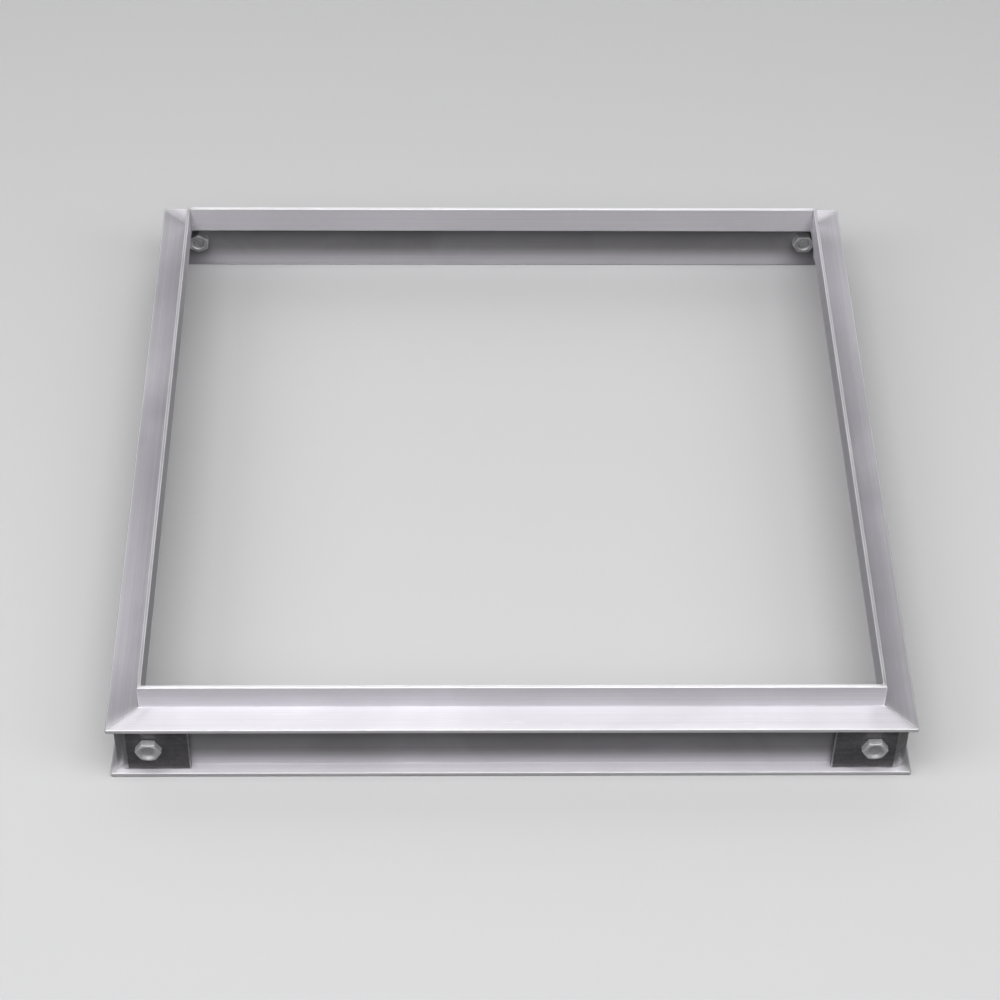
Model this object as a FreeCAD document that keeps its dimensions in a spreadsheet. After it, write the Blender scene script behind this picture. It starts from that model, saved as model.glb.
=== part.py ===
import FreeCAD, Part
import math
import os
import Sketcher

# Square recessed access-cover surround: four mitred aluminium rails,
# four steel corner cleats, eight hex bolts and eight hex nuts.
# Millimetres, +Z up, the frame stands on z = 0 and is centred on the origin.

doc = FreeCAD.newDocument("AccessFrame")
dims = doc.addObject("Spreadsheet::Sheet", "Dims")
dims.Label = "Dims"

SIZES = [
    ("frame_side", 600.0),      # outside face to outside face
    ("flange_top", 53.5),       # upper face of the top flange
    ("lip_top", 74.5),          # top of the upstanding lip
    ("lip_outer", 23.0),        # outer plane to the lip's outer face
    ("lip_inner", 26.0),        # outer plane to the lip's inner face
    ("flange_thick", 3.5),      # both flanges
    ("web_outer", 10.0),        # outer plane to the web's outer face
    ("web_inner", 13.0),        # outer plane to the web's inner face
    ("edge_round", 0.5),        # every outside edge of the extrusion
    ("root_round", 1.2),        # inside corners that nothing sits in
    ("mitre_gap", 0.1),         # half of the hairline joint at a mitre
    ("bolt_inset", 30.0),       # corner's outer plane to a bolt axis
    ("bolt_height", 30.0),      # base to a bolt axis
    ("hole_size", 11.0),
    ("cleat_recess", 4.0),      # outer plane to the cleat's outer face
    ("cleat_thick", 6.0),
    ("cleat_reach", 60.0),      # corner's outer plane to the end of a leg
    ("cleat_base", 4.0),
    ("cleat_tall", 44.0),
    ("cleat_bend", 9.0),        # outside radius of the bend
    ("cleat_edge", 0.6),        # broken edges of the plate
    ("hex_flats", 17.0),
    ("head_tall", 6.4),
    ("dish_rim", 14.4),         # hollow pressed in the head, at its mouth
    ("dish_floor", 9.6),
    ("dish_deep", 2.2),
    ("shank_size", 10.0),
    ("shank_long", 16.0),
    ("nut_tall", 8.0),
    ("nut_bore", 10.1),
    ("bore_chamfer", 0.6),
    ("crown_size", 16.2),       # round face left by the corner chamfer
    ("end_chamfer", 1.0),
]
VAL = {}
for row, (name, value) in enumerate(SIZES, start=1):
    dims.set("A%d" % row, name)
    dims.set("B%d" % row, str(value))
    dims.setAlias("B%d" % row, name)
    VAL[name] = value
doc.recompute()


def number(expr):
    """Value of an expression written in sheet words."""
    text = expr
    for key in sorted(VAL, key=len, reverse=True):
        text = text.replace("Dims." + key, repr(VAL[key]))
    return FreeCAD.Units.Quantity(text).Value


def plane_of(body, role):
    for item in body.Origin.OriginFeatures:
        if item.Role == role:
            return item
    raise RuntimeError("no plane " + role)


def new_body(label):
    body = doc.addObject("PartDesign::Body", label)
    body.Label = label
    return body


def new_sketch(body, name, role):
    sketch = doc.addObject("Sketcher::SketchObject", name)
    body.addObject(sketch)
    sketch.AttachmentSupport = (plane_of(body, role), [""])
    sketch.MapMode = "FlatFace"
    return sketch


def set_size(sketch, index, expr):
    sketch.setExpression("Constraints[%d]" % index, expr)


def pin(sketch, geo, pos, ex, ey):
    """Fix one sketch point with two signed distances taken from the sheet."""
    for kind, expr, axis in (("DistanceX", ex, -2), ("DistanceY", ey, -1)):
        value = number(expr)
        if abs(value) < 1e-9:
            sketch.addConstraint(
                Sketcher.Constraint("PointOnObject", geo, pos, axis))
        else:
            index = sketch.addConstraint(
                Sketcher.Constraint(kind, -1, 1, geo, pos, value))
            set_size(sketch, index, expr)


def loop(sketch, points):
    """Closed chain of lines through (x, y) expression pairs."""
    first = sketch.GeometryCount
    spots = [FreeCAD.Vector(number(x), number(y), 0) for x, y in points]
    count = len(spots)
    for i in range(count):
        sketch.addGeometry(
            Part.LineSegment(spots[i], spots[(i + 1) % count]), False)
    for i in range(count):
        j = (i + 1) % count
        sketch.addConstraint(
            Sketcher.Constraint("Coincident", first + i, 2, first + j, 1))
    for i, (x, y) in enumerate(points):
        pin(sketch, first + i, 1, x, y)


def ring(sketch, x, y, diameter):
    geo = sketch.addGeometry(Part.Circle(
        FreeCAD.Vector(number(x), number(y), 0), FreeCAD.Vector(0, 0, 1),
        number(diameter) / 2.0), False)
    pin(sketch, geo, 3, x, y)
    index = sketch.addConstraint(
        Sketcher.Constraint("Diameter", geo, number(diameter)))
    set_size(sketch, index, diameter)


def extrude(body, sketch, name, expr, both=False, back=False):
    pad = doc.addObject("PartDesign::Pad", name)
    body.addObject(pad)
    pad.Profile = sketch
    pad.Length = number(expr)
    pad.setExpression("Length", expr)
    pad.Midplane = both
    pad.Reversed = back
    sketch.Visibility = False
    doc.recompute()
    return pad


def cut_through(body, sketch, name):
    pocket = doc.addObject("PartDesign::Pocket", name)
    body.addObject(pocket)
    pocket.Profile = sketch
    pocket.Type = 1
    pocket.Midplane = True
    sketch.Visibility = False
    before = pocket.BaseFeature.Shape.Volume
    doc.recompute()
    if not pocket.Shape.Volume < before - 1.0:
        raise RuntimeError(name + " removed nothing")
    return pocket


def edges_where(shape, test):
    return ["Edge%d" % (i + 1) for i, e in enumerate(shape.Edges) if test(e)]


def round_edges(body, base, name, names, expr):
    fillet = doc.addObject("PartDesign::Fillet", name)
    body.addObject(fillet)
    fillet.Base = (base, names)
    fillet.Radius = number(expr)
    fillet.setExpression("Radius", expr)
    base.Visibility = False
    doc.recompute()
    return fillet


def turn(body, quarter, lay=False, twist=0.0):
    """Quarter turns about Z; lay = local +Z swung to point inward (+Y),
    twist = how far the hexagon is turned about its own axis."""
    spin = FreeCAD.Rotation(FreeCAD.Vector(0, 0, 1), 90.0 * quarter)
    if lay:
        spin = spin.multiply(
            FreeCAD.Rotation(FreeCAD.Vector(1, 0, 0), -90.0))
        spin = spin.multiply(
            FreeCAD.Rotation(FreeCAD.Vector(0, 0, 1), twist))
    body.Placement = FreeCAD.Placement(FreeCAD.Vector(0, 0, 0), spin)


def place(body, quarter, along, inward, height):
    """Bind the position of a fastener given along its own rail."""
    side = "(Dims.frame_side / 2 - %s)" % inward
    turns = {
        0: (along, "-" + side),
        1: (side, along),
        2: ("-(%s)" % along, side),
        3: ("-" + side, "-(%s)" % along),
    }
    x, y = turns[quarter]
    body.setExpression(".Placement.Base.x", x)
    body.setExpression(".Placement.Base.y", y)
    body.setExpression(".Placement.Base.z", height)


# ---------------------------------------------------------------- rails
# Section, measured inward from the outer plane: foot, web, top flange and
# the thin lip that stands on the flange's inner edge.
HALF = "Dims.frame_side / 2"


def rail(label, quarter):
    body = new_body(label)
    section = new_sketch(body, label + "_section", "YZ_Plane")

    def inward(word):
        return "Dims.%s - %s" % (word, HALF)

    outer = "-" + HALF
    under = "Dims.flange_top - Dims.flange_thick"
    loop(section, [
        (outer, "0"),
        (inward("web_inner"), "0"),
        (inward("web_inner"), under),
        (inward("lip_inner"), under),
        (inward("lip_inner"), "Dims.lip_top"),
        (inward("lip_outer"), "Dims.lip_top"),
        (inward("lip_outer"), "Dims.flange_top"),
        (outer, "Dims.flange_top"),
        (outer, under),
        (inward("web_outer"), under),
        (inward("web_outer"), "Dims.flange_thick"),
        (outer, "Dims.flange_thick"),
    ])
    bar = extrude(body, section, label + "_bar", "Dims.frame_side", both=True)

    half = VAL["frame_side"] / 2.0

    def run_at(inset, height):
        def test(edge):
            mid = edge.CenterOfMass
            return (edge.Length > 500.0
                    and abs(mid.y - (inset - half)) < 0.01
                    and abs(mid.z - height) < 0.01)
        return test

    def pick(shape, spots):
        names = []
        for inset, height in spots:
            names += edges_where(shape, run_at(inset, height))
        if len(names) != len(spots):
            raise RuntimeError("edge search on " + label)
        return names

    low = VAL["flange_thick"]
    top = VAL["flange_top"]
    sub = top - low
    wo, wi = VAL["web_outer"], VAL["web_inner"]
    lo, li = VAL["lip_outer"], VAL["lip_inner"]
    soft = round_edges(body, bar, label + "_edges", pick(bar.Shape, [
        (0, 0), (0, low), (0, sub), (0, top), (lo, VAL["lip_top"]),
        (li, VAL["lip_top"]), (li, sub), (wi, 0),
        (wo, sub), (wo, low)]), "Dims.edge_round")
    root = round_edges(body, soft, label + "_roots", pick(soft.Shape, [
        (wi, sub), (lo, top)]), "Dims.root_round")

    # Both ends cut back to the 45 degree mitre lines.
    mitre = new_sketch(body, label + "_mitre", "XY_Plane")
    for sign in ("", "-"):
        deep = "%s(%s - Dims.mitre_gap - 30)" % (sign, HALF)
        far = "%s(%s + 5)" % (sign, HALF)
        loop(mitre, [
            (deep, "30 - " + HALF),
            (far, "30 - " + HALF),
            (far, "-(%s + 5 + Dims.mitre_gap)" % HALF),
        ])
    cut_through(body, mitre, label + "_mitred")

    # Two clearance holes through the web.
    drill = new_sketch(body, label + "_drill", "XZ_Plane")
    for sign in ("", "-"):
        ring(drill, "%s(%s - Dims.bolt_inset)" % (sign, HALF),
             "Dims.bolt_height", "Dims.hole_size")
    cut_through(body, drill, label + "_holes")
    turn(body, quarter)
    return body


# ---------------------------------------------------------------- cleats
# Bent plate angle, drawn for the front left corner and turned for the rest.
def cleat(label, quarter):
    body = new_body(label)
    plan = new_sketch(body, label + "_plan", "XY_Plane")
    face = "Dims.cleat_recess - " + HALF
    back = "Dims.cleat_recess + Dims.cleat_thick - " + HALF
    end = "Dims.cleat_reach - " + HALF
    loop(plan, [(face, face), (end, face), (end, back), (back, back),
                (back, end), (face, end)])
    plan.AttachmentOffset = FreeCAD.Placement(
        FreeCAD.Vector(0, 0, VAL["cleat_base"]), FreeCAD.Rotation())
    plan.setExpression(".AttachmentOffset.Base.z", "Dims.cleat_base")
    plate = extrude(body, plan, label + "_plate", "Dims.cleat_tall")

    start = VAL["cleat_recess"] - VAL["frame_side"] / 2.0
    heel = edges_where(plate.Shape, lambda e: (
        abs(e.CenterOfMass.x - start) < 0.01
        and abs(e.CenterOfMass.y - start) < 0.01))
    bent = round_edges(body, plate, label + "_bend", heel, "Dims.cleat_bend")

    tip = VAL["cleat_reach"] - VAL["frame_side"] / 2.0
    toes = edges_where(bent.Shape, lambda e: (
        abs(abs(e.tangentAt(e.FirstParameter).z) - 1.0) < 1e-6
        and (abs(e.CenterOfMass.x - tip) < 0.01
             or abs(e.CenterOfMass.y - tip) < 0.01)))
    if len(heel) != 1 or len(toes) != 4:
        raise RuntimeError("edge search on " + label)
    round_edges(body, bent, label + "_toes", toes, "Dims.cleat_edge")

    for role, tag in (("XZ_Plane", "_a"), ("YZ_Plane", "_b")):
        drill = new_sketch(body, label + "_drill" + tag, role)
        ring(drill, "-(%s - Dims.bolt_inset)" % HALF,
             "Dims.bolt_height", "Dims.hole_size")
        cut_through(body, drill, label + "_hole" + tag)
    turn(body, quarter)
    return body


# ------------------------------------------------------------- fasteners
# Local +Z runs along the shank, away from the head.
def hexagon(sketch):
    r = "(Dims.hex_flats / 2 / cos(30))"
    r_num = VAL["hex_flats"] / 2.0 / math.cos(math.radians(30))
    first = sketch.GeometryCount
    spots = [FreeCAD.Vector(r_num * math.cos(math.radians(60 * i)),
                            r_num * math.sin(math.radians(60 * i)), 0)
             for i in range(6)]
    for i in range(6):
        sketch.addGeometry(
            Part.LineSegment(spots[i], spots[(i + 1) % 6]), False)
    guide = sketch.addGeometry(Part.Circle(
        FreeCAD.Vector(0, 0, 0), FreeCAD.Vector(0, 0, 1), r_num), True)
    sketch.addConstraint(
        Sketcher.Constraint("Coincident", guide, 3, -1, 1))
    for i in range(6):
        sketch.addConstraint(Sketcher.Constraint(
            "Coincident", first + i, 2, first + (i + 1) % 6, 1))
        sketch.addConstraint(Sketcher.Constraint(
            "PointOnObject", first + i, 1, guide))
    for i in range(5):
        sketch.addConstraint(Sketcher.Constraint(
            "Equal", first + i, first + i + 1))
    sketch.addConstraint(
        Sketcher.Constraint("PointOnObject", first, 1, -1))
    index = sketch.addConstraint(Sketcher.Constraint(
        "Distance", first, 1, first + 3, 1, 2 * r_num))
    set_size(sketch, index, "2 * " + r)


def crown(body, name, level, toward):
    """Turn off the hexagon's corners at one face (30 degree chamfer)."""
    profile = new_sketch(body, name + "_cut", "XZ_Plane")
    near = "Dims.crown_size / 2"
    loop(profile, [
        (near, level),
        (near + " + 4", level),
        (near + " + 4", "%s %s 4 * tan(30)" % (level, toward)),
    ])
    groove = doc.addObject("PartDesign::Groove", name)
    body.addObject(groove)
    groove.Profile = profile
    groove.ReferenceAxis = (profile, ["V_Axis"])
    groove.Angle = 360
    profile.Visibility = False
    before = groove.BaseFeature.Shape.Volume
    doc.recompute()
    if not groove.Shape.Volume < before - 0.5:
        raise RuntimeError(name + " removed nothing")
    return groove


def dish(body, name):
    """The shallow hollow that cold forging leaves in the head."""
    profile = new_sketch(body, name + "_cut", "XZ_Plane")
    loop(profile, [
        ("0", "-Dims.head_tall"),
        ("Dims.dish_rim / 2", "-Dims.head_tall"),
        ("Dims.dish_floor / 2", "Dims.dish_deep - Dims.head_tall"),
        ("0", "Dims.dish_deep - Dims.head_tall"),
    ])
    groove = doc.addObject("PartDesign::Groove", name)
    body.addObject(groove)
    groove.Profile = profile
    groove.ReferenceAxis = (profile, ["V_Axis"])
    groove.Angle = 360
    profile.Visibility = False
    before = groove.BaseFeature.Shape.Volume
    doc.recompute()
    if not groove.Shape.Volume < before - 50.0:
        raise RuntimeError(name + " removed nothing")
    return groove


def bolt(label, quarter, along, twist):
    body = new_body(label)
    outline = new_sketch(body, label + "_hex", "XY_Plane")
    hexagon(outline)
    extrude(body, outline, label + "_head", "Dims.head_tall", back=True)
    crown(body, label + "_crown", "-Dims.head_tall", "+")
    dish(body, label + "_dish")
    round_bar = new_sketch(body, label + "_rod", "XY_Plane")
    ring(round_bar, "0", "0", "Dims.shank_size")
    shank = extrude(body, round_bar, label + "_shank", "Dims.shank_long")
    end = edges_where(shank.Shape, lambda e: (
        abs(e.CenterOfMass.z - VAL["shank_long"]) < 0.01))
    if len(end) != 1:
        raise RuntimeError("edge search on " + label)
    chamfer = doc.addObject("PartDesign::Chamfer", label + "_end")
    body.addObject(chamfer)
    chamfer.Base = (shank, end)
    chamfer.Size = VAL["end_chamfer"]
    chamfer.setExpression("Size", "Dims.end_chamfer")
    shank.Visibility = False
    doc.recompute()
    turn(body, quarter, lay=True, twist=twist)
    place(body, quarter, along, "Dims.cleat_recess", "Dims.bolt_height")
    return body


def nut(label, quarter, along, twist):
    body = new_body(label)
    outline = new_sketch(body, label + "_hex", "XY_Plane")
    hexagon(outline)
    ring(outline, "0", "0", "Dims.nut_bore")
    extrude(body, outline, label + "_blank", "Dims.nut_tall")
    turned = crown(body, label + "_crown", "Dims.nut_tall", "-")
    mouths = edges_where(turned.Shape, lambda e: (
        e.Curve.TypeId == "Part::GeomCircle"
        and abs(e.Curve.Radius - VAL["nut_bore"] / 2.0) < 1e-6
        and abs(e.Length - math.pi * VAL["nut_bore"]) < 0.01))
    if len(mouths) != 2:
        raise RuntimeError("edge search on " + label)
    sink = doc.addObject("PartDesign::Chamfer", label + "_sink")
    body.addObject(sink)
    sink.Base = (turned, mouths)
    sink.Size = VAL["bore_chamfer"]
    sink.setExpression("Size", "Dims.bore_chamfer")
    turned.Visibility = False
    doc.recompute()
    turn(body, quarter, lay=True, twist=twist)
    place(body, quarter, along, "Dims.web_inner", "Dims.bolt_height")
    return body


parts = []
SIDES = ["front", "right", "back", "left"]
for quarter, side in enumerate(SIDES):
    parts.append(rail(side + "_rail", quarter))
for quarter, corner in enumerate(
        ["front_left", "front_right", "back_right", "back_left"]):
    parts.append(cleat("cleat_" + corner, quarter))
# Each hexagon stops where it was tightened. The nuts on the left and right
# rails end with a flat towards the corner, so that the pair of nuts that
# share a corner clear each other.
HEAD_TWIST = [2.0, -3.0, 14.0, -22.0, 9.0, 27.0, -11.0, 18.0]
NUT_TWIST = [4.0, -8.0, 30.0, 31.0, 3.0, 26.0, 29.0, 30.0]
count = 0
for quarter, side in enumerate(SIDES):
    before, after = SIDES[quarter - 1], SIDES[(quarter + 1) % 4]
    for neighbour, sign in ((before, "-"), (after, "")):
        along = "%s(%s - Dims.bolt_inset)" % (sign, HALF)
        parts.append(bolt("bolt_%s_%s" % (side, neighbour), quarter, along,
                          HEAD_TWIST[count]))
        parts.append(nut("nut_%s_%s" % (side, neighbour), quarter, along,
                         NUT_TWIST[count]))
        count += 1
doc.recompute()

for item in doc.Objects:
    state = list(item.State)
    if "Invalid" in state or "Error" in state:
        raise RuntimeError("bad state on %s: %s" % (item.Label, state))

os.makedirs("parts", exist_ok=True)
for old in os.listdir("parts"):
    if old.endswith(".step"):
        os.remove(os.path.join("parts", old))
for body in parts:
    shape = body.Shape
    if shape.isNull() or not shape.isValid() or len(shape.Solids) != 1:
        raise RuntimeError("bad shape on " + body.Label)
    shape.exportStep(os.path.join("parts", body.Label + ".step"))
    box = shape.BoundBox
    print("%-20s vol %10.1f  x %8.2f %8.2f  y %8.2f %8.2f  z %6.2f %6.2f" % (
        body.Label, shape.Volume, box.XMin, box.XMax, box.YMin, box.YMax,
        box.ZMin, box.ZMax))
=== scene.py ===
import math

import bmesh
import bpy
import numpy as np
from mathutils import Matrix, Vector


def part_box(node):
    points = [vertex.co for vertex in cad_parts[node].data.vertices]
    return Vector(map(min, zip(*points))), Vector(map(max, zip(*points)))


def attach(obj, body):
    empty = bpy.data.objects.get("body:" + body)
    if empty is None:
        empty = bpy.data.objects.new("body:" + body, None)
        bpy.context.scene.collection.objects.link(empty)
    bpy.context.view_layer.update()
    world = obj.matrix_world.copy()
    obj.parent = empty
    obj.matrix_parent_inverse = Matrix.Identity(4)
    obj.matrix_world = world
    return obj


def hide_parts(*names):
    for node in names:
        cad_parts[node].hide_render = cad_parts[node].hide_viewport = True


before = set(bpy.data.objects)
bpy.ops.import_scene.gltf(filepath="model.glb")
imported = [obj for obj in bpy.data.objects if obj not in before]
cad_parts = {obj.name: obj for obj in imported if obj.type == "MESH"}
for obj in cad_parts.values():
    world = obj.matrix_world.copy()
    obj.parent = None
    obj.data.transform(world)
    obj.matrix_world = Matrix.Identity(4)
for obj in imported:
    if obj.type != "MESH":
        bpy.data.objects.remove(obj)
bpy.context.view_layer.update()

MM = 0.001
scene = bpy.context.scene
UP = Vector((0.0, 0.0, 1.0))

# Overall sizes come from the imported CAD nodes.
rail_lo, rail_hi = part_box("front_rail")
HALF = max(-rail_lo.y, rail_hi.y) / MM          # 300, half the frame
LIP_TOP = rail_hi.z / MM                        # 74.5
cleat_lo, cleat_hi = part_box("cleat_front_left")
CLEAT_Z0, CLEAT_Z1 = cleat_lo.z / MM, cleat_hi.z / MM
RECESS = HALF + cleat_lo.x / MM                 # 4
REACH = HALF + cleat_hi.x / MM                  # 60
bolt_lo, bolt_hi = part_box("bolt_front_left")
BOLT_X = (bolt_lo.x + bolt_hi.x) / 2 / MM       # -270
BOLT_Z = (bolt_lo.z + bolt_hi.z) / 2 / MM       # 30
HEAD_FACE = -(bolt_lo.y / MM) - HALF            # 2.4 proud of the outer plane
SHANK_END = HALF + bolt_hi.y / MM               # 20 inside the outer plane
nut_lo, nut_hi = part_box("nut_front_left")
NUT_D0, NUT_D1 = HALF + nut_lo.y / MM, HALF + nut_hi.y / MM   # 13, 21

FLANGE_TOP, FLANGE_UNDER = 53.5, 50.0
FOOT_TOP = 3.5
WEB_OUT, WEB_IN = 10.0, 13.0
LIP_OUT, LIP_IN = 23.0, 26.0
GAP = 0.1
HOLE_R = 5.5


# ------------------------------------------------------------------ outlines
def rounded(corners, segments=4, near=0.9):
    """Closed outline with rounded corners. corners = (x, y, radius, mark).
    Gives points with their outward normal and wear."""
    n = len(corners)
    area = sum(corners[i][0] * corners[(i + 1) % n][1]
               - corners[(i + 1) % n][0] * corners[i][1] for i in range(n))
    turn = 1.0 if area > 0 else -1.0
    pts = []
    for i in range(n):
        px, py = corners[i - 1][:2]
        x, y, r, wear = corners[i]
        qx, qy = corners[(i + 1) % n][:2]
        a = Vector((x - px, y - py)).normalized()
        b = Vector((qx - x, qy - y)).normalized()
        la = math.hypot(x - px, y - py)
        lb = math.hypot(qx - x, qy - y)
        cross = a.x * b.y - a.y * b.x
        convex = cross * turn > 0
        na = Vector((a.y, -a.x)) * turn
        nb = Vector((b.y, -b.x)) * turn
        if r < 1e-6:
            m = (na + nb).normalized()
            scale = 1.0 / max(0.3, m.dot(na))
            pts.append((x, y, m * scale, wear))
            continue
        t = r * abs(math.tan(math.acos(max(-1, min(1, a.dot(b)))) / 2))
        s = Vector((x, y)) - a * t
        e = Vector((x, y)) + b * t
        c = s - na * r if convex else s + na * r
        gap = near
        if la > 2 * gap + 2 * t:
            p = s - a * gap
            pts.append((p.x, p.y, na.copy(), 0.0))
        for k in range(segments + 1):
            f = k / segments
            v = na.lerp(nb, f)
            ang = math.acos(max(-1, min(1, na.dot(nb)))) * f
            rot = ang * (1 if (na.x * nb.y - na.y * nb.x) > 0 else -1)
            v = Vector((na.x * math.cos(rot) - na.y * math.sin(rot),
                        na.x * math.sin(rot) + na.y * math.cos(rot)))
            p = c + v * r if convex else c - v * r
            pts.append((p.x, p.y, v, wear))
        if lb > 2 * gap + 2 * t:
            p = e + b * gap
            pts.append((p.x, p.y, nb.copy(), 0.0))
    return pts


def with_levels(pts, axis, value, band):
    """Adds outline points where the long flats cross given levels, on the
    flats whose other coordinate lies in one of the given bands."""
    out = []
    n = len(pts)
    for i in range(n):
        p, q = pts[i], pts[(i + 1) % n]
        out.append(p)
        a, b = p[axis], q[axis]
        other = (p[1 - axis] + q[1 - axis]) / 2
        if abs(p[1 - axis] - q[1 - axis]) > 1e-6:
            continue
        if not any(abs(other - m) < 1e-3 for m in band):
            continue
        levels = [v for v in value if min(a, b) + 1e-6 < v < max(a, b) - 1e-6]
        levels.sort(reverse=a > b)
        for v in levels:
            f = (v - a) / (b - a)
            x = p[0] + (q[0] - p[0]) * f
            y = p[1] + (q[1] - p[1]) * f
            out.append((x, y, p[2].copy(), 0.0))
    return out


class Builder:
    """Collects vertices (mm), faces, UV (metres), wear and material index."""

    def __init__(self):
        self.co, self.wear, self.faces, self.uv, self.mat = [], [], [], [], []

    def add(self, p, wear=0.0):
        self.co.append(tuple(float(c) for c in p))
        self.wear.append(float(wear))
        return len(self.co) - 1

    def face(self, ids, uvs, mat=0):
        self.faces.append(tuple(ids))
        self.uv.append([tuple(u) for u in uvs])
        self.mat.append(mat)

    def make(self, name, matrix, materials, angle=28.0, weighted=True):
        mesh = bpy.data.meshes.new(name)
        co = [matrix @ (Vector(c) * MM) for c in self.co]
        mesh.from_pydata([tuple(c) for c in co], [], self.faces)
        layer = mesh.uv_layers.new(name="grain")
        flat = []
        for f in self.uv:
            for u in f:
                flat.extend(u)
        layer.data.foreach_set("uv", flat)
        for m in materials:
            mesh.materials.append(m)
        mesh.polygons.foreach_set("material_index", self.mat)
        att = mesh.attributes.new("wear", "FLOAT", "POINT")
        att.data.foreach_set("value", self.wear)
        mesh.validate()
        bm = bmesh.new()
        bm.from_mesh(mesh)
        bmesh.ops.recalc_face_normals(bm, faces=bm.faces)
        volume = bm.calc_volume(signed=True)
        if volume < 0:
            bmesh.ops.reverse_faces(bm, faces=bm.faces)
        limit = math.radians(angle)
        for e in bm.edges:
            if len(e.link_faces) != 2:
                raise RuntimeError("open edge on " + name)
            e.smooth = e.calc_face_angle(0.0) < limit
        for f in bm.faces:
            f.smooth = True
        bm.to_mesh(mesh)
        bm.free()
        obj = bpy.data.objects.new(name, mesh)
        scene.collection.objects.link(obj)
        if weighted:
            mod = obj.modifiers.new("flats", "WEIGHTED_NORMAL")
            mod.mode = "FACE_AREA"
            mod.weight = 50
            mod.keep_sharp = True
        return obj


def grid_solid(b, rings, us, vs, skip=(), close_caps=True, cap_mat=1,
               cap_uv=None):
    """Skin over equal rings. rings[k][i] = vertex ids. us[k][i] for i in 0..n
    and vs[k] give the UV. skip = cells (i, k) left open."""
    n = len(rings[0])
    for k in range(len(rings) - 1):
        for i in range(n):
            if (i, k) in skip:
                continue
            j = (i + 1) % n
            b.face((rings[k][i], rings[k][j], rings[k + 1][j], rings[k + 1][i]),
                   ((us[i], vs[k]), (us[i + 1], vs[k]),
                    (us[i + 1], vs[k + 1]), (us[i], vs[k + 1])))
    if close_caps:
        for k in (0, len(rings) - 1):
            ids = rings[k]
            if cap_uv is None:
                uvs = [(b.co[v][0] * MM, b.co[v][1] * MM) for v in ids]
            else:
                uvs = [cap_uv(b.co[v]) for v in ids]
            b.face(ids, uvs, cap_mat)


def bore(b, rings, us, vs, cell_a, cell_b, centre_a, centre_b, u_dir, v_dir,
         radius, count=40):
    """Round hole between two open cells of a grid solid."""
    n = len(rings[0])
    loops = []
    for (i, k), centre in ((cell_a, centre_a), (cell_b, centre_b)):
        j = (i + 1) % n
        corners = [rings[k][i], rings[k][j], rings[k + 1][j], rings[k + 1][i]]
        cuv = [(us[i], vs[k]), (us[i + 1], vs[k]),
               (us[i + 1], vs[k + 1]), (us[i], vs[k + 1])]
        pts = []
        for q in range(count):
            t = 2 * math.pi * q / count + math.pi / 4
            p = (Vector(centre) + Vector(u_dir) * math.cos(t) * radius
                 + Vector(v_dir) * math.sin(t) * radius)
            pts.append(b.add(p, 0.55))
        ang = []
        for c in corners:
            d = Vector(b.co[c]) - Vector(centre)
            ang.append(math.atan2(d.dot(Vector(v_dir)), d.dot(Vector(u_dir))))
        order = [int(round(((a - math.pi / 4) % (2 * math.pi))
                           / (2 * math.pi) * 4)) % 4 for a in ang]
        # uv of a point by its place between the corners
        ca, cb, cd = (Vector(b.co[corners[0]]), Vector(b.co[corners[1]]),
                      Vector(b.co[corners[3]]))
        eu, ev = cb - ca, cd - ca

        def uv_of(vid, ca=ca, eu=eu, ev=ev, cuv=cuv):
            d = Vector(b.co[vid]) - ca
            fu = d.dot(eu) / eu.length_squared
            fv = d.dot(ev) / ev.length_squared
            return (cuv[0][0] + (cuv[1][0] - cuv[0][0]) * fu,
                    cuv[0][1] + (cuv[3][1] - cuv[0][1]) * fv)

        quarter = count // 4
        step = 1 if (order[1] - order[0]) % 4 == 1 else -1
        for c in range(4):
            a_id, b_id = corners[c], corners[(c + 1) % 4]
            s = order[c] * quarter
            arc = [pts[(s + step * q) % count] for q in range(quarter + 1)]
            ids = [a_id, b_id] + arc[::-1]
            uvs = [cuv[c], cuv[(c + 1) % 4]] + [uv_of(v) for v in arc[::-1]]
            b.face(ids, uvs)
        loops.append(pts)
    a, c = loops
    for q in range(count):
        r = (q + 1) % count
        deep = (Vector(centre_b) - Vector(centre_a)).length * MM
        u0, u1 = q / count * 0.0345, (q + 1) / count * 0.0345
        b.face((a[q], a[r], c[r], c[q]),
               ((u0, 0), (u1, 0), (u1, deep), (u0, deep)), 1)


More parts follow.
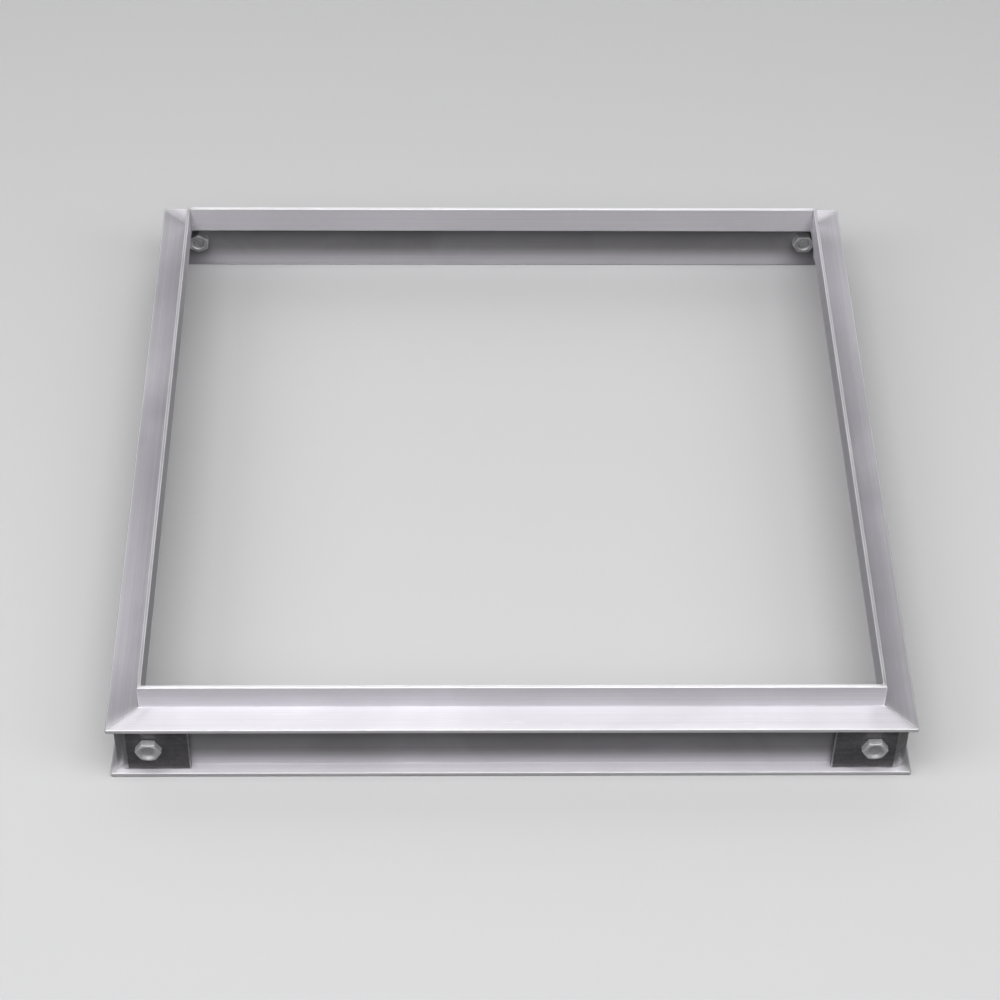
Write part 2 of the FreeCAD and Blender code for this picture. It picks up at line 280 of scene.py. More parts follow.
# ------------------------------------------------------------------- shaders
class Nodes:
    """Short spelling for node graphs."""

    def __init__(self, name):
        self.mat = bpy.data.materials.new(name)
        self.mat.use_nodes = True
        self.tree = self.mat.node_tree
        for n in list(self.tree.nodes):
            self.tree.nodes.remove(n)
        self.out = self.new("ShaderNodeOutputMaterial")
        self.bsdf = self.new("ShaderNodeBsdfPrincipled")
        self.link(self.bsdf.outputs[0], self.out.inputs["Surface"])

    def new(self, kind, **props):
        node = self.tree.nodes.new(kind)
        for k, v in props.items():
            setattr(node, k, v)
        return node

    def link(self, a, b):
        self.tree.links.new(a, b)

    def put(self, socket, value):
        if isinstance(value, bpy.types.NodeSocket):
            self.link(value, socket)
        else:
            socket.default_value = value

    def uv(self):
        return self.new("ShaderNodeUVMap", uv_map="grain").outputs[0]

    def place(self):
        return self.new("ShaderNodeTexCoord").outputs["Object"]

    def mapped(self, vec, scale, move=(0, 0, 0)):
        m = self.new("ShaderNodeMapping")
        self.link(vec, m.inputs["Vector"])
        m.inputs["Scale"].default_value = scale
        m.inputs["Location"].default_value = move
        return m.outputs[0]

    def noise(self, vec, scale=1.0, detail=3.0, rough=0.5, distort=0.0,
              lac=2.0):
        n = self.new("ShaderNodeTexNoise", noise_dimensions="3D")
        self.link(vec, n.inputs["Vector"])
        n.inputs["Scale"].default_value = scale
        n.inputs["Detail"].default_value = detail
        n.inputs["Roughness"].default_value = rough
        n.inputs["Lacunarity"].default_value = lac
        n.inputs["Distortion"].default_value = distort
        return n.outputs["Fac"]

    def voronoi(self, vec, scale, feature="F1", rand=1.0):
        n = self.new("ShaderNodeTexVoronoi", feature=feature)
        self.link(vec, n.inputs["Vector"])
        n.inputs["Scale"].default_value = scale
        n.inputs["Randomness"].default_value = rand
        return n

    def math(self, op, a, b=0.0, c=0.0, clamp=False):
        n = self.new("ShaderNodeMath", operation=op, use_clamp=clamp)
        self.put(n.inputs[0], a)
        self.put(n.inputs[1], b)
        self.put(n.inputs[2], c)
        return n.outputs[0]

    def span(self, v, a, b, c, d, clamp=True, smooth=False):
        n = self.new("ShaderNodeMapRange", clamp=clamp)
        if smooth:
            n.interpolation_type = "SMOOTHSTEP"
        self.put(n.inputs[0], v)
        for i, x in enumerate((a, b, c, d)):
            n.inputs[i + 1].default_value = x
        return n.outputs[0]

    def mix(self, fac, a, b, mode="MIX"):
        n = self.new("ShaderNodeMix", data_type="RGBA", blend_type=mode)
        self.put(n.inputs[0], fac)
        for socket, v in ((n.inputs[6], a), (n.inputs[7], b)):
            self.put(socket, v)
        return n.outputs[2]

    def wear(self):
        n = self.new("ShaderNodeAttribute", attribute_name="wear")
        return n.outputs["Fac"]

    def split(self, vec):
        n = self.new("ShaderNodeSeparateXYZ")
        self.link(vec, n.inputs[0])
        return n.outputs

    def bump(self, height, strength, distance, under=None):
        n = self.new("ShaderNodeBump")
        n.inputs["Strength"].default_value = strength
        n.inputs["Distance"].default_value = distance
        self.link(height, n.inputs["Height"])
        if under is not None:
            self.link(under, n.inputs["Normal"])
        return n.outputs[0]


def grey(v, tint=(1.0, 1.0, 1.0)):
    return (v * tint[0], v * tint[1], v * tint[2], 1.0)


COOL = (0.967, 0.942, 1.0)


def aluminium():
    """Mill-finish extrusion: die lines along the bar, faint haze, handling
    scuffs, edges rubbed brighter, and painted shade darkening the web
    under the flange."""
    n = Nodes("mill_aluminium")
    uv, place = n.uv(), n.place()
    # U runs round the section, V along the bar (metres)
    fine = n.noise(n.mapped(uv, (5200, 9, 1)), 1.0, 2.0, 0.6)
    lines = n.noise(n.mapped(uv, (1500, 2.2, 1), (3, 0, 0)), 1.0, 3.0, 0.55)
    bands = n.noise(n.mapped(uv, (260, 0.35, 1), (0, 7, 0)), 1.0, 2.0, 0.5)
    haze = n.noise(n.mapped(place, (9, 9, 9)), 1.0, 4.0, 0.55, 0.6)
    cloud = n.noise(n.mapped(place, (38, 38, 38)), 1.0, 3.0, 0.6)
    # short scuffs lying mostly along the bar
    scuff_a = n.noise(n.mapped(uv, (900, 60, 1), (11, 4, 0)), 1.0, 1.0, 0.4)
    scuff = n.span(scuff_a, 0.69, 0.76, 0.0, 1.0)
    # stray cross scratches
    cross_v = n.new("ShaderNodeMapping")
    n.link(uv, cross_v.inputs["Vector"])
    cross_v.inputs["Rotation"].default_value = (0, 0, 0.62)
    cross_v.inputs["Scale"].default_value = (1600, 26, 1)
    cross = n.span(n.noise(cross_v.outputs[0], 1.0, 0.5, 0.3), 0.775, 0.80,
                   0.0, 1.0)
    worn = n.span(n.math("ADD", n.wear(),
                         n.math("MULTIPLY", n.math("SUBTRACT", cloud, 0.5),
                                0.9)), 0.35, 0.95, 0.0, 1.0, smooth=True)

    streak = n.math("ADD", n.math("MULTIPLY", fine, 0.35),
                    n.math("ADD", n.math("MULTIPLY", lines, 0.40),
                           n.math("MULTIPLY", bands, 0.25)))
    col = n.mix(n.span(streak, 0.34, 0.66, 0.0, 1.0),
                grey(0.72, COOL), grey(0.86, COOL))
    col = n.mix(n.span(haze, 0.35, 0.72, 0.0, 0.32), col, grey(0.60, COOL))
    col = n.mix(n.math("MULTIPLY", scuff, 0.35), col, grey(0.92))
    col = n.mix(n.math("MULTIPLY", cross, 0.45), col, grey(0.94))
    # painted shade on the sheltered web: dark from just under the flange down
    # to mid height, fading out towards the foot, varied a little by the haze
    where = n.new("ShaderNodeNewGeometry")
    split = n.new("ShaderNodeSeparateXYZ")
    n.link(where.outputs["Position"], split.inputs[0])
    painted_shade = n.span(split.outputs["Z"], 0.004, 0.022, 0.0, 1.0, smooth=True)
    painted_shade = n.math("MULTIPLY", painted_shade,
                  n.span(split.outputs["Z"], 0.0496, 0.0501, 1.0, 0.0))
    painted_shade = n.math("MULTIPLY", painted_shade, n.span(haze, 0.3, 0.7, 0.64, 0.84))
    col = n.mix(painted_shade, col, grey(0.24, COOL))
    col = n.mix(n.math("MULTIPLY", worn, 0.75), col, grey(0.93))
    n.link(col, n.bsdf.inputs["Base Color"])
    n.bsdf.inputs["Metallic"].default_value = 1.0
    rough = n.math("ADD", n.span(streak, 0.3, 0.7, 0.56, 0.50),
                   n.span(haze, 0.3, 0.75, -0.02, 0.07))
    rough = n.math("SUBTRACT", rough, n.math("MULTIPLY", worn, 0.10))
    n.link(rough, n.bsdf.inputs["Roughness"])
    n.bsdf.inputs["Anisotropic"].default_value = 0.90
    tan = n.new("ShaderNodeTangent", direction_type="UV_MAP", uv_map="grain")
    n.link(tan.outputs[0], n.bsdf.inputs["Tangent"])
    height = n.math("ADD", n.math("MULTIPLY", fine, 0.5),
                    n.math("MULTIPLY", lines, 0.8))
    height = n.math("SUBTRACT", height, n.math("MULTIPLY", cross, 0.8))
    height = n.math("SUBTRACT", height, n.math("MULTIPLY", scuff, 0.4))
    b1 = n.bump(cloud, 0.10, 0.0004)
    n.link(n.bump(height, 0.12, 0.00010, b1), n.bsdf.inputs["Normal"])
    return n.mat


def sawn():
    """Sawn end of the bar and drilled walls: bright, with saw lines."""
    n = Nodes("sawn_aluminium")
    uv, place = n.uv(), n.place()
    lines = n.noise(n.mapped(uv, (140, 2600, 1)), 1.0, 2.0, 0.6)
    broad = n.noise(n.mapped(uv, (60, 420, 1)), 1.0, 2.0, 0.5)
    cloud = n.noise(n.mapped(place, (120, 120, 120)), 1.0, 3.0, 0.6)
    mixd = n.math("ADD", n.math("MULTIPLY", lines, 0.6),
                  n.math("MULTIPLY", broad, 0.4))
    col = n.mix(n.span(mixd, 0.35, 0.65, 0.0, 1.0), grey(0.70), grey(0.90))
    col = n.mix(n.span(cloud, 0.45, 0.75, 0.0, 0.4), col, grey(0.62))
    n.link(col, n.bsdf.inputs["Base Color"])
    n.bsdf.inputs["Metallic"].default_value = 1.0
    n.link(n.span(cloud, 0.3, 0.7, 0.28, 0.42), n.bsdf.inputs["Roughness"])
    n.link(n.bump(mixd, 0.35, 0.0002), n.bsdf.inputs["Normal"])
    return n.mat


def dark_steel():
    """Hot-rolled plate: blue-grey mill scale, mottled, edges rubbed bare."""
    n = Nodes("scaled_steel")
    place = n.place()
    mottle = n.noise(n.mapped(place, (60, 60, 60)), 1.0, 5.0, 0.62, 0.8)
    grain = n.noise(n.mapped(place, (650, 650, 650)), 1.0, 3.0, 0.6)
    roll = n.noise(n.mapped(place, (30, 30, 520)), 1.0, 3.0, 0.55)
    flake = n.voronoi(n.mapped(place, (170, 170, 170)), 1.0,
                      "DISTANCE_TO_EDGE")
    crack = n.span(flake.outputs["Distance"], 0.0, 0.05, 1.0, 0.0)
    crack = n.math("MULTIPLY", crack, n.span(mottle, 0.52, 0.62, 0.0, 1.0))
    worn = n.span(n.math("ADD", n.wear(),
                         n.math("MULTIPLY", n.math("SUBTRACT", mottle, 0.5),
                                1.3)), 0.45, 1.05, 0.0, 1.0, smooth=True)
    col = n.mix(n.span(mottle, 0.32, 0.68, 0.0, 1.0),
                (0.14, 0.136, 0.144, 1), (0.25, 0.243, 0.254, 1))
    col = n.mix(n.span(roll, 0.4, 0.7, 0.0, 0.5), col,
                (0.29, 0.282, 0.29, 1))
    col = n.mix(n.span(grain, 0.5, 0.72, 0.0, 0.4), col,
                (0.13, 0.125, 0.13, 1))
    col = n.mix(n.math("MULTIPLY", crack, 0.5), col, (0.42, 0.41, 0.42, 1))
    col = n.mix(n.math("MULTIPLY", worn, 0.8), col, (0.74, 0.73, 0.74, 1))
    n.link(col, n.bsdf.inputs["Base Color"])
    n.link(n.math("ADD", n.span(mottle, 0.3, 0.7, 0.80, 0.95),
                  n.math("MULTIPLY", worn, 0.1)), n.bsdf.inputs["Metallic"])
    rough = n.math("ADD", n.span(mottle, 0.3, 0.7, 0.54, 0.68),
                   n.span(grain, 0.3, 0.7, -0.04, 0.06))
    n.link(n.math("SUBTRACT", rough, n.math("MULTIPLY", worn, 0.14)),
           n.bsdf.inputs["Roughness"])
    h = n.math("ADD", n.math("MULTIPLY", grain, 0.5),
               n.math("MULTIPLY", mottle, 1.2))
    n.link(n.bump(h, 0.30, 0.0003), n.bsdf.inputs["Normal"])
    return n.mat


def zinc():
    """Bright zinc plating on forged and turned parts."""
    n = Nodes("zinc_plate")
    place, uv = n.place(), n.uv()
    mottle = n.noise(n.mapped(place, (210, 210, 210)), 1.0, 4.0, 0.6, 0.5)
    grain = n.noise(n.mapped(place, (1500, 1500, 1500)), 1.0, 2.0, 0.6)
    turn = n.noise(n.mapped(uv, (60, 3800, 1)), 1.0, 2.0, 0.55)
    worn = n.span(n.math("ADD", n.wear(),
                         n.math("MULTIPLY", n.math("SUBTRACT", mottle, 0.5),
                                1.0)), 0.40, 1.0, 0.0, 1.0, smooth=True)
    col = n.mix(n.span(mottle, 0.35, 0.65, 0.0, 1.0),
                (0.54, 0.54, 0.56, 1), (0.72, 0.72, 0.735, 1))
    col = n.mix(n.span(grain, 0.55, 0.75, 0.0, 0.5), col,
                (0.50, 0.50, 0.515, 1))
    col = n.mix(n.math("MULTIPLY", worn, 0.7), col, (0.92, 0.92, 0.92, 1))
    n.link(col, n.bsdf.inputs["Base Color"])
    n.link(n.span(mottle, 0.3, 0.7, 0.62, 0.80), n.bsdf.inputs["Metallic"])
    rough = n.math("ADD", n.span(mottle, 0.3, 0.7, 0.38, 0.50),
                   n.span(turn, 0.3, 0.7, -0.03, 0.05))
    n.link(rough, n.bsdf.inputs["Roughness"])
    h = n.math("ADD", n.math("MULTIPLY", turn, 0.6),
               n.math("MULTIPLY", grain, 0.4))
    n.link(n.bump(h, 0.18, 0.00012), n.bsdf.inputs["Normal"])
    return n.mat


ALU, SAWN, STEEL, ZINC = aluminium(), sawn(), dark_steel(), zinc()


# --------------------------------------------------------------------- rails
SECTION = with_levels(rounded([
    (0.0, 0.0, 0.5, 1.0), (WEB_IN, 0.0, 0.5, 1.0),
    (WEB_IN, FLANGE_UNDER, 1.2, 0.0), (LIP_IN, FLANGE_UNDER, 0.5, 1.0),
    (LIP_IN, LIP_TOP, 0.5, 1.0), (LIP_OUT, LIP_TOP, 0.5, 1.0),
    (LIP_OUT, FLANGE_TOP, 1.2, 0.0), (0.0, FLANGE_TOP, 0.5, 1.0),
    (0.0, FLANGE_UNDER, 0.5, 1.0), (WEB_OUT, FLANGE_UNDER, 0.5, 0.0),
    (WEB_OUT, FOOT_TOP, 0.5, 0.0), (0.0, FOOT_TOP, 0.5, 1.0),
]), 1, (BOLT_Z - 8, BOLT_Z + 8), (WEB_OUT, WEB_IN))


def along(points):
    """Distance round a closed outline, metres, one more than the points."""
    u = [0.0]
    for i in range(len(points)):
        p, q = points[i], points[(i + 1) % len(points)]
        u.append(u[-1] + math.hypot(q[0] - p[0], q[1] - p[1]) * MM)
    return u


def rail(name, quarter):
    b = Builder()
    half_hole = 8.0
    inset = 0.22

    def x_at(kind, d, sign):
        end = HALF - d - GAP
        if kind == "cap":
            return sign * end
        if kind == "rim":
            return sign * (end - inset)
        if kind == "near":
            return sign * (end - 1.3)
        if kind == "wide":
            return sign * (-BOLT_X + half_hole - max(0.0, d - WEB_IN) * 0.6)
        if kind == "close":
            return sign * (-BOLT_X - half_hole)
        return kind

    kinds = [("cap", 1), ("rim", 1), ("near", 1), ("wide", 1), ("close", 1)]
    kinds += [(float(x), 1) for x in range(240, -241, -40)]
    kinds += [("close", -1), ("wide", -1), ("near", -1), ("rim", -1),
              ("cap", -1)]
    rings, vs = [], []
    for kind, sign in kinds:
        ring = []
        for d, z, nrm, wear in SECTION:
            dd, zz = d, z
            if kind == "cap":
                dd, zz = d - nrm.x * inset, z - nrm.y * inset
            x = x_at(kind, dd, sign)
            w = wear
            if kind in ("cap", "rim"):
                w = 1.0
            ring.append(b.add((x, dd - HALF, zz), w))
        rings.append(ring)
        vs.append(float(np.mean([b.co[i][0] for i in ring])) * MM
                  + 1.7 * quarter)
    us = along(SECTION)

    def cell(d):
        n = len(SECTION)
        for i in range(n):
            p, q = SECTION[i], SECTION[(i + 1) % n]
            if (abs(p[0] - d) < 1e-4 and abs(q[0] - d) < 1e-4
                    and abs((p[1] + q[1]) / 2 - BOLT_Z) < 1e-4):
                return i
        raise RuntimeError("no web cell")

    out_i, in_i = cell(WEB_OUT), cell(WEB_IN)
    ks = [3, len(kinds) - 5]
    skip = {(i, k) for i in (out_i, in_i) for k in ks}
    grid_solid(b, rings, us, vs, skip,
               cap_uv=lambda c: (c[1] * MM, c[2] * MM))
    for k, sign in zip(ks, (1, -1)):
        bore(b, rings, us, vs, (out_i, k), (in_i, k),
             (-BOLT_X * sign, WEB_OUT - HALF, BOLT_Z),
             (-BOLT_X * sign, WEB_IN - HALF, BOLT_Z),
             (1, 0, 0), (0, 0, 1), HOLE_R)
    turn = Matrix.Rotation(math.radians(90 * quarter), 4, "Z")
    obj = b.make(name, turn, [ALU, SAWN])
    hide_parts(name.replace("_extrusion", ""))
    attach(obj, "root")
    return obj


# -------------------------------------------------------------------- cleats
def cleat(name, node, quarter):
    b = Builder()
    lo = RECESS
    back = WEB_OUT
    end = REACH
    plan = rounded([
        (lo, lo, 9.0, 1.0), (end, lo, 0.6, 1.0), (end, back, 0.6, 0.9),
        (back, back, 0.0, 0.0), (back, end, 0.6, 0.9), (lo, end, 0.6, 1.0),
    ], segments=8, near=1.2)
    hole = -BOLT_X
    inset = HALF - hole
    plan = with_levels(plan, 0, (inset - 8, inset + 8), (lo, back))
    plan = with_levels(plan, 1, (inset - 8, inset + 8), (lo, back))
    edge = 0.6
    levels = []
    for k in range(5):
        t = math.pi / 2 * k / 4
        levels.append((CLEAT_Z0 + edge * (1 - math.sin(t)),
                       edge * (1 - math.cos(t)), 1.0))
    levels = [(CLEAT_Z0, edge, 0.9), (CLEAT_Z0 + 0.08, edge * 0.62, 1.0),
              (CLEAT_Z0 + 0.22, edge * 0.25, 1.0),
              (CLEAT_Z0 + 0.6, 0.0, 0.9), (CLEAT_Z0 + 1.7, 0.0, 0.0),
              (BOLT_Z - 8, 0.0, 0.0), (BOLT_Z + 8, 0.0, 0.0),
              (CLEAT_Z1 - 1.7, 0.0, 0.0), (CLEAT_Z1 - 0.6, 0.0, 0.9),
              (CLEAT_Z1 - 0.22, edge * 0.25, 1.0),
              (CLEAT_Z1 - 0.08, edge * 0.62, 1.0), (CLEAT_Z1, edge, 0.9)]
    rings, vs = [], []
    for z, shrink, wear in levels:
        ring = []
        for x, y, nrm, w in plan:
            ring.append(b.add((x - nrm.x * shrink - HALF,
                               y - nrm.y * shrink - HALF, z), max(w, wear)))
        rings.append(ring)
        vs.append(z * MM + quarter * 0.31)
    us = along(plan)

    def cell(axis, level):
        n = len(plan)
        for i in range(n):
            p, q = plan[i], plan[(i + 1) % n]
            if (abs(p[axis] - level) < 1e-4 and abs(q[axis] - level) < 1e-4
                    and abs((p[1 - axis] + q[1 - axis]) / 2 - inset) < 1e-4):
                return i
        raise RuntimeError("no plate cell")

    k = 5
    cells = [(cell(1, lo), cell(1, back)), (cell(0, lo), cell(0, back))]
    skip = {(i, k) for pair in cells for i in pair}
    grid_solid(b, rings, us, vs, skip, cap_mat=0)
    c = inset - HALF
    bore(b, rings, us, vs, (cells[0][0], k), (cells[0][1], k),
         (c, lo - HALF, BOLT_Z), (c, back - HALF, BOLT_Z),
         (1, 0, 0), (0, 0, 1), HOLE_R)
    bore(b, rings, us, vs, (cells[1][0], k), (cells[1][1], k),
         (lo - HALF, c, BOLT_Z), (back - HALF, c, BOLT_Z),
         (0, 1, 0), (0, 0, 1), HOLE_R)
    turn = Matrix.Rotation(math.radians(90 * quarter), 4, "Z")
    obj = b.make(name, turn, [STEEL, STEEL])
    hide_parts(node)
    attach(obj, "root")
    return obj


# ----------------------------------------------------------------- fasteners
FLATS = 17.0
CROWN = 16.2 / 2
PITCH = 1.5


def hex_angles():
    out = []
    for side in range(6):
        for o in (-30, -28.6, -27, -24, -19, -13, -7, 0, 7, 13, 19, 24, 27,
                  28.6):
            out.append(math.radians(side * 60 + 30 + o))
    return out


def hex_radius(t):
    """Radius of the hexagon at angle t; its corners are at 0, 60, ... and
    are very slightly rounded off."""
    f = math.degrees(t) % 60.0 - 30.0
    r = FLATS / 2 / math.cos(math.radians(f))
    top = FLATS / 2 / math.cos(math.radians(30)) - 0.02
    return min(r, top)


def lathe(b, rings, mats, marks):
    """Skin over rings of radius/height functions of the angle. A ring given
    as a single point closes the skin."""
    angles = hex_angles()
    n = len(angles)
    ids = []
    for k, (fr, fz) in enumerate(rings):
        if fr is None:
            ids.append([b.add((0, 0, fz(0.0)), marks[k])])
            continue
        ring = []
        for t in angles:
            r = fr(t)
            ring.append(b.add((r * math.cos(t), r * math.sin(t), fz(t)),
                              marks[k]))
        ids.append(ring)
    run = [0.0]
    for k in range(1, len(rings)):
        def spot(j):
            fr, fz = rings[j]
            return (0.0 if fr is None else fr(0.3), fz(0.3))
        p, q = spot(k - 1), spot(k)
        run.append(run[-1] + math.hypot(q[0] - p[0], q[1] - p[1]) * MM)
    circ = 0.05
    for k in range(len(rings) - 1):
        a, c = ids[k], ids[k + 1]
        for i in range(n):
            j = (i + 1) % n
            u0, u1 = i / n * circ, (i + 1) / n * circ
            if len(a) == 1:
                b.face((a[0], c[j], c[i]),
                       ((u0, run[k]), (u1, run[k + 1]), (u0, run[k + 1])),
                       mats[k])
            elif len(c) == 1:
                b.face((a[i], a[j], c[0]),
                       ((u0, run[k]), (u1, run[k]), (u0, run[k + 1])),
                       mats[k])
            else:
                b.face((a[i], a[j], c[j], c[i]),
                       ((u0, run[k]), (u1, run[k]),
                        (u1, run[k + 1]), (u0, run[k + 1])), mats[k])
    return ids


def thread(t, z, major, depth, lead_in=0.0, root=True):
    """Radius of a 60 degree thread at angle t and height z."""
    phase = (z / PITCH - t / (2 * math.pi)) % 1.0
    tri = abs(phase * 2.0 - 1.0)               # 1 at the crest, 0 at root
    shape = min(1.0, max(0.0, (tri - 0.16) / 0.68))
    return major - depth * (1.0 - shape)


HEAD_TWIST = [2.0, -3.0, 14.0, -22.0, 9.0, 27.0, -11.0, 18.0]
NUT_TWIST = [4.0, -8.0, 30.0, 31.0, 3.0, 26.0, 29.0, 30.0]
HEAD_TALL = HEAD_FACE + RECESS                  # 6.4
SHANK = SHANK_END - RECESS                      # 16
NUT_TALL = NUT_D1 - NUT_D0                      # 8
TAN30 = math.tan(math.radians(30))


def stand(quarter, x_local, inward, twist):
    spin = Matrix.Rotation(math.radians(90 * quarter), 4, "Z")
    lay = Matrix.Rotation(math.radians(-90), 4, "X")
    roll = Matrix.Rotation(math.radians(twist), 4, "Z")
    spot = Matrix.Translation(
        Vector((x_local, inward - HALF, BOLT_Z)) * MM)
    return spin @ spot @ lay @ roll


def bolt(name, node, matrix):
    b = Builder()
    rings, marks, mats = [], [], []

    def ring(fr, fz, mark, mat=0):
        rings.append((fr, fz if callable(fz) else (lambda t, z=fz: z)))
        marks.append(mark)
        mats.append(mat)

    def circle(r):
        return lambda t, r=r: r

    top = -HEAD_TALL
    # dish floor outward
    ring(None, top + 2.2, 0.0)
    ring(circle(1.6), top + 2.2, 0.0)
    ring(circle(3.6), top + 2.2, 0.0)
    ring(circle(4.35), top + 2.16, 0.0)
    ring(circle(4.85), top + 1.98, 0.1)
    ring(circle(5.5), top + 1.40, 0.2)
    ring(circle(6.4), top + 0.60, 0.3)
    ring(circle(6.95), top + 0.16, 0.9)
    ring(circle(7.25), top + 0.02, 1.0)
    ring(circle(7.55), top + 0.0, 0.8)
    ring(circle(CROWN - 0.2), top + 0.0, 0.5)
    ring(circle(CROWN), top + 0.06, 0.9)

    def edge_z(t):
        return top + max(0.06, (hex_radius(t) - CROWN) * TAN30)

    def edge_r(t):
        return hex_radius(t) - 0.06

    ring(edge_r, edge_z, 1.0)
    ring(hex_radius, lambda t: edge_z(t) + 0.12, 0.8)
    ring(hex_radius, lambda t: edge_z(t) + 0.9, 0.15)
    ring(hex_radius, -1.2, 0.1)
    ring(hex_radius, -0.75, 0.9)
    ring(lambda t: hex_radius(t) - 0.16, -0.55, 0.9)
    # washer face
    ring(circle(8.0), -0.50, 0.3)
    ring(circle(7.9), -0.04, 0.5)
    ring(circle(7.75), 0.0, 0.4)
    ring(circle(5.3), 0.0, 0.0)
    ring(circle(4.9), 0.35, 0.0)
    ring(circle(4.93), 0.9, 0.0)
    step = 0.125
    count = int((SHANK - 0.9 - 1.1) / step)
    for k in range(count + 1):
        z = 0.95 + k * step
        fade = min(1.0, (z - 0.9) / 1.2)
        tail = SHANK - z
        cut = min(0.0, (tail - 1.1)) * 1.0

        def fr(t, z=z, fade=fade, cut=cut):
            r = thread(t, z, 4.97, 0.86 * fade)
            return min(r, 4.97 + cut)
        ring(fr, z, 0.25)
    z0 = 0.95 + count * step
    for k in range(1, 9):
        z = z0 + (SHANK - z0) * k / 8
        limit = 4.97 - max(0.0, (z - (SHANK - 1.0)))

        def fr(t, z=z, limit=limit):
            return min(thread(t, z, 4.97, 0.86), limit)
        ring(fr, z, 0.4)
    ring(circle(3.6), SHANK, 0.1)
    ring(circle(1.8), SHANK, 0.0)
    ring(None, SHANK, 0.0)
    lathe(b, rings, mats, marks)
    obj = b.make(name, matrix, [ZINC], angle=24.0)
    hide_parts(node)
    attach(obj, "root")
    return obj


def nut(name, node, matrix):
    b = Builder()
    angles = hex_angles()
    n = len(angles)
    rings, marks = [], []

    def ring(fr, fz, mark):
        rings.append((fr, fz if callable(fz) else (lambda t, z=fz: z)))
        marks.append(mark)

    def circle(r):
        return lambda t, r=r: r

    def low_z(t):
        return max(0.06, (hex_radius(t) - CROWN) * TAN30)

    def high_z(t):
        return NUT_TALL - low_z(t)

    ring(circle(5.75), 0.0, 0.4)
    ring(circle(CROWN - 0.1), 0.0, 0.4)
    ring(lambda t: hex_radius(t) - 0.05, low_z, 0.9)
    ring(hex_radius, lambda t: low_z(t) + 0.12, 0.7)
    ring(hex_radius, lambda t: low_z(t) + 0.9, 0.1)
    ring(hex_radius, lambda t: high_z(t) - 0.9, 0.1)
    ring(hex_radius, lambda t: high_z(t) - 0.12, 0.7)
    ring(lambda t: hex_radius(t) - 0.05, high_z, 1.0)
    ring(circle(CROWN - 0.1), NUT_TALL - 0.03, 0.9)
    ring(circle(CROWN - 0.4), NUT_TALL, 0.5)
    ring(circle(6.4), NUT_TALL, 0.1)
    ring(circle(5.85), NUT_TALL - 0.04, 0.7)
    ring(circle(5.62), NUT_TALL - 0.16, 1.0)
    z = NUT_TALL - 0.62
    ring(circle(5.09), z, 0.2)
    # thread cut into the bore, outside the shank's own envelope
    step = 0.125
    while z > 0.75:
        z -= step
        fade = min(1.0, (NUT_TALL - 0.62 - z) / 0.6, max(0.0, (z - 0.62) / 0.6))

        def fr(t, z=z, fade=fade):
            phase = (z / PITCH - t / (2 * math.pi)) % 1.0
            tri = abs(phase * 2.0 - 1.0)
            return 5.06 + 0.42 * fade * min(1.0, max(0.0, (tri - 0.3) / 0.6))
        ring(fr, z, 0.2)
    ring(circle(5.09), 0.62, 0.3)
    ids = []
    for (fr, fz), mark in zip(rings, marks):
        ids.append([b.add((fr(t) * math.cos(t), fr(t) * math.sin(t), fz(t)),
                          mark) for t in angles])
    ids.append(ids[0])
    run = [0.0]
    for k in range(1, len(ids)):
        p, q = Vector(b.co[ids[k - 1][7]]), Vector(b.co[ids[k][7]])
        run.append(run[-1] + (q - p).length * MM)
    for k in range(len(ids) - 1):
        for i in range(n):
            j = (i + 1) % n
            u0, u1 = i / n * 0.05, (i + 1) / n * 0.05
            b.face((ids[k][i], ids[k][j], ids[k + 1][j], ids[k + 1][i]),
                   ((u0, run[k]), (u1, run[k]),
                    (u1, run[k + 1]), (u0, run[k + 1])))
    obj = b.make(name, matrix, [ZINC], angle=24.0)
    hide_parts(node)
    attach(obj, "root")
    return obj


SIDES = ["front", "right", "back", "left"]
count = 0
for quarter, side in enumerate(SIDES):
    rail(side + "_rail_extrusion", quarter)
for quarter, corner in enumerate(
        ["front_left", "front_right", "back_right", "back_left"]):
    cleat("corner_cleat_" + corner, "cleat_" + corner, quarter)
for quarter, side in enumerate(SIDES):
    before, after = SIDES[quarter - 1], SIDES[(quarter + 1) % 4]
    for neighbour, x in ((before, BOLT_X), (after, -BOLT_X)):
        tag = "%s_%s" % (side, neighbour)
        bolt("hex_bolt_" + tag, "bolt_" + tag,
             stand(quarter, x, RECESS, HEAD_TWIST[count]))
        nut("hex_nut_" + tag, "nut_" + tag,
            stand(quarter, x, NUT_D0, NUT_TWIST[count]))
        count += 1


# --------------------------------------------------------------------- stage
def floor():
    mesh = bpy.data.meshes.new("studio_floor")
    s = 6.0
    mesh.from_pydata([(-s, -s, 0), (s, -s, 0), (s, s, 0), (-s, s, 0)], [],
                     [(0, 1, 2, 3)])
    obj = bpy.data.objects.new("studio_floor", mesh)
    scene.collection.objects.link(obj)
    obj.location = (0, 0, -0.0004)
    n = Nodes("floor_matt")
    n.bsdf.inputs["Base Color"].default_value = (0.50, 0.50, 0.505, 1)
    n.bsdf.inputs["Roughness"].default_value = 0.9
    n.bsdf.inputs["Specular IOR Level"].default_value = 0.2
    mesh.materials.append(n.mat)
    obj.visible_glossy = False


floor()


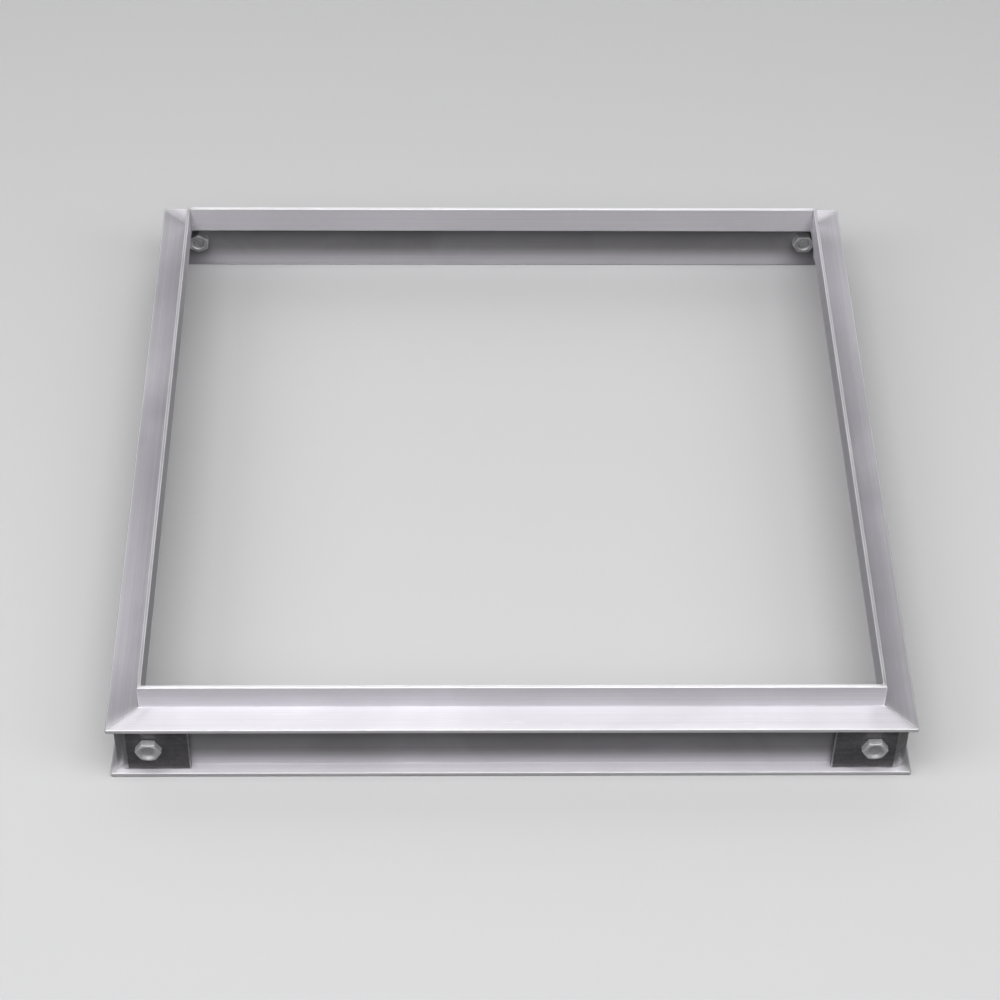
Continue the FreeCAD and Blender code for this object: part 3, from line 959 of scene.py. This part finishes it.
def area(name, spot, aim, size, power, colour=(1, 1, 1)):
    data = bpy.data.lights.new(name, "AREA")
    data.shape = "RECTANGLE"
    data.size, data.size_y = size
    data.energy = power
    data.color = colour
    obj = bpy.data.objects.new(name, data)
    scene.collection.objects.link(obj)
    obj.location = spot
    d = Vector(aim) - Vector(spot)
    obj.rotation_euler = d.to_track_quat("-Z", "Y").to_euler()
    return obj


area("overhead_strip", (0.0, -0.45, 2.4), (0, -0.1, 0), (2.8, 0.9), 33)
area("front_key", (0.0, -1.35, 2.45), (0, -0.1, 0), (2.8, 0.9), 19)
area("front_fill", (0.0, -2.3, 2.1), (0, 0, 0), (2.6, 0.9), 17)
area("back_panel", (-0.25, 2.3, 2.3), (0, 0, 0), (5.2, 2.4), 36)
area("left_side", (-2.1, -0.9, 1.7), (0, -0.2, 0), (1.2, 1.5), 30)
area("right_side", (2.1, -0.9, 1.7), (0, -0.2, 0), (1.2, 1.5), 24)

world = bpy.data.worlds.new("studio")
scene.world = world
world.use_nodes = True
bg = world.node_tree.nodes.get("Background")
bg.inputs[0].default_value = (0.55, 0.55, 0.57, 1)
bg.inputs[1].default_value = 0.10

scene.view_settings.view_transform = "Standard"
scene.view_settings.look = "None"
scene.view_settings.exposure = 0.0
scene.view_settings.gamma = 1.0

# -------------------------------------------------------------------- camera
cam_data = bpy.data.cameras.new("camera")
cam = bpy.data.objects.new("camera", cam_data)
scene.collection.objects.link(cam)
scene.camera = cam
cam_data.sensor_width = 36.0
cam_data.lens = 36.0 * 2706.84 / 1000.0
cam_data.clip_start, cam_data.clip_end = 0.05, 30.0
yaw, pitch, lean = (math.radians(1.567), math.radians(45.585),
                    math.radians(1.105))
ahead = Vector((math.sin(yaw) * math.cos(pitch),
                math.cos(yaw) * math.cos(pitch), -math.sin(pitch)))
right = Vector((math.cos(yaw), -math.sin(yaw), 0.0))
over = right.cross(ahead)
right2 = right * math.cos(lean) + over * math.sin(lean)
over2 = over * math.cos(lean) - right * math.sin(lean)
spot = Vector((-0.04770, -1.57322, 1.59579))
m = Matrix((
    (right2.x, over2.x, -ahead.x, spot.x),
    (right2.y, over2.y, -ahead.y, spot.y),
    (right2.z, over2.z, -ahead.z, spot.z),
    (0, 0, 0, 1)))
cam.matrix_world = m
